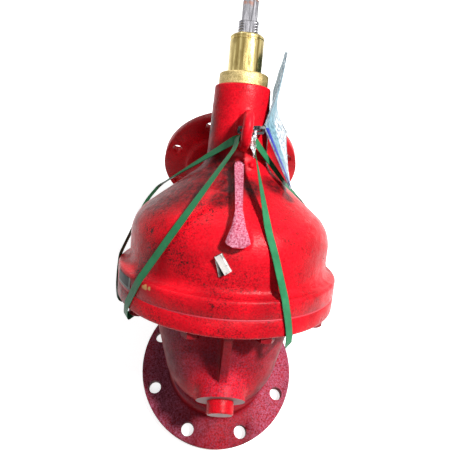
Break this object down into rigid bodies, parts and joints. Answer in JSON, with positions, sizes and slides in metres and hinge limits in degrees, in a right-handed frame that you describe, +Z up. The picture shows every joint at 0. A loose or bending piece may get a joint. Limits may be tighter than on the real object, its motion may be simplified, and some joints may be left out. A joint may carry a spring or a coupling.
{
  "type": "angle control valve",
  "caption": "Flanged right-angle valve with a domed bonnet leaning over the outlet, brass gland, square-ended screwed stem, lifting eye and shipping straps.",
  "frame": {"origin": "centre of the inlet flange's face", "axes": "+Z up the inlet pipe, +Y towards the outlet, X across the valve"},
  "size_m": [0.3679, 0.5781, 0.4874],
  "materials": {
    "red_enamel_casting": "gloss red enamel over rough cast iron, speckled with grime",
    "red_enamel_bolt": "gloss red enamel",
    "black_gasket": "matt",
    "bronze": "turned",
    "polished_brass": "polished",
    "cast_brass": "rough as cast",
    "stainless_steel": "ground and threaded",
    "black_rubber": "matt",
    "white_packing": "matt",
    "green_strap": "embossed polyester strapping",
    "tinned_clip": "satin",
    "black_nylon": "satin",
    "clear_plastic": "gloss",
    "blue_card": "coated",
    "white_paper": "matt",
    "label_film": "gloss"
  },
  "bodies": {
    "valve_body": {"upper_casting": "red_enamel_casting", "lower_casting": "red_enamel_casting", "joint_gasket": "black_gasket", "joint_bolt_set": "red_enamel_bolt", "seat_ring": "bronze", "guide_bush": "bronze", "brass_collar": "cast_brass", "packing": "white_packing", "brass_sleeve": "polished_brass", "drain_plug": "red_enamel_bolt", "strap_left": "green_strap", "strap_right": "green_strap", "strap_clip": "tinned_clip", "zip_tie": "black_nylon", "tie_tail": "clear_plastic", "leaflet_cover": "blue_card", "leaflet_pages": "white_paper", "rim_label": "label_film"},
    "disc_assembly": {"valve_disc": "bronze", "disc_seal": "black_rubber", "seal_plate": "stainless_steel", "seal_nut": "stainless_steel", "disc_nut": "bronze"},
    "stem_assembly": {"stem": "stainless_steel"}
  },
  "joints": [
    {"name": "disc_lift", "type": "slide", "parent": "valve_body", "child": "disc_assembly", "axis": [0, 0.7071, 0.7071], "range_m": [0, 0.04]},
    {"name": "stem_turn", "type": "hinge", "parent": "disc_assembly", "child": "stem_assembly", "pos_m": [0, 0.114, 0.168], "axis": [0, -0.7071, -0.7071], "range_deg": [0, 3600]}
  ],
  "couplings": [
    {"joint": "stem_turn", "follows": "disc_lift", "rad_per_m": 1570.8}
  ]
}
